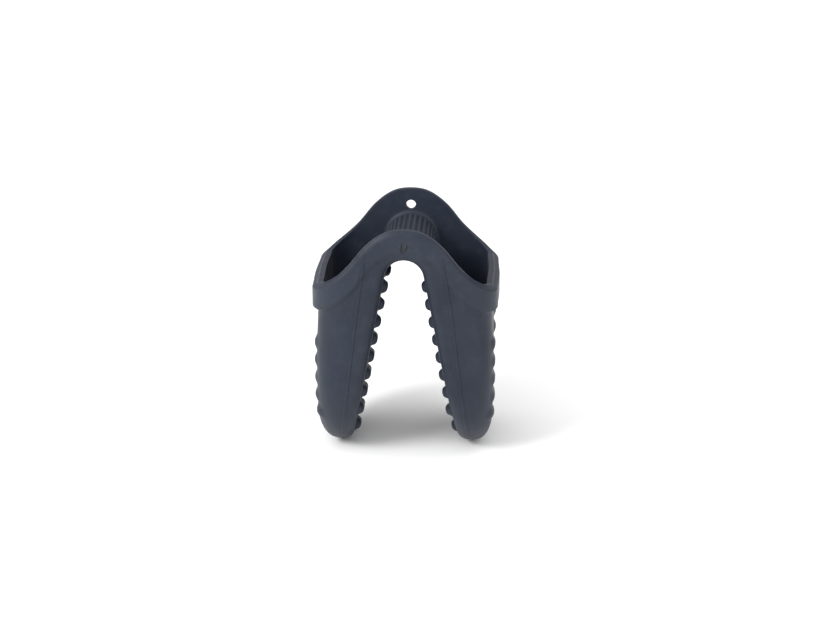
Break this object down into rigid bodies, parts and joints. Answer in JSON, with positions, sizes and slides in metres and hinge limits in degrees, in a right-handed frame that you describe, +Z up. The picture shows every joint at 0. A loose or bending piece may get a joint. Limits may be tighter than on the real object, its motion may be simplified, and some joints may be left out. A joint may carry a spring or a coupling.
{
  "type": "oven mitt",
  "caption": "U-shaped moulded silicone pinch mitt with a finger pocket and a thumb pocket, joined by a ribbed flexing bridge with two hanging ears.",
  "frame": {"origin": "midway between the two tips, at the level of their lowest points", "axes": "+Z up to the ears, +X towards the thumb pocket, Y along the knuckles from one ear to the other"},
  "size_m": [0.1, 0.092, 0.13],
  "materials": {
    "silicone": "matt dark slate silicone"
  },
  "bodies": {
    "bridge": {"bridge_web": "silicone", "near_ear": "silicone", "far_ear": "silicone"},
    "thumb_pocket": {"thumb_grip_wall": "silicone", "thumb_back_wall": "silicone", "thumb_near_side": "silicone", "thumb_far_side": "silicone", "thumb_tip": "silicone", "thumb_collar_near": "silicone", "thumb_collar_end": "silicone", "thumb_collar_far": "silicone"},
    "finger_pocket": {"finger_grip_wall": "silicone", "finger_back_wall": "silicone", "finger_near_side": "silicone", "finger_far_side": "silicone", "finger_tip": "silicone", "finger_collar_near": "silicone", "finger_collar_end": "silicone", "finger_collar_far": "silicone"}
  },
  "joints": [
    {"name": "thumb_pinch", "type": "hinge", "parent": "bridge", "child": "thumb_pocket", "pos_m": [0.009, 0, 0.116], "axis": [0, 1, 0], "range_deg": [-25, 12], "stiffness_Nm_per_rad": 0.5},
    {"name": "finger_pinch", "type": "hinge", "parent": "bridge", "child": "finger_pocket", "pos_m": [-0.009, 0, 0.116], "axis": [0, -1, 0], "range_deg": [-25, 12], "stiffness_Nm_per_rad": 0.5}
  ]
}
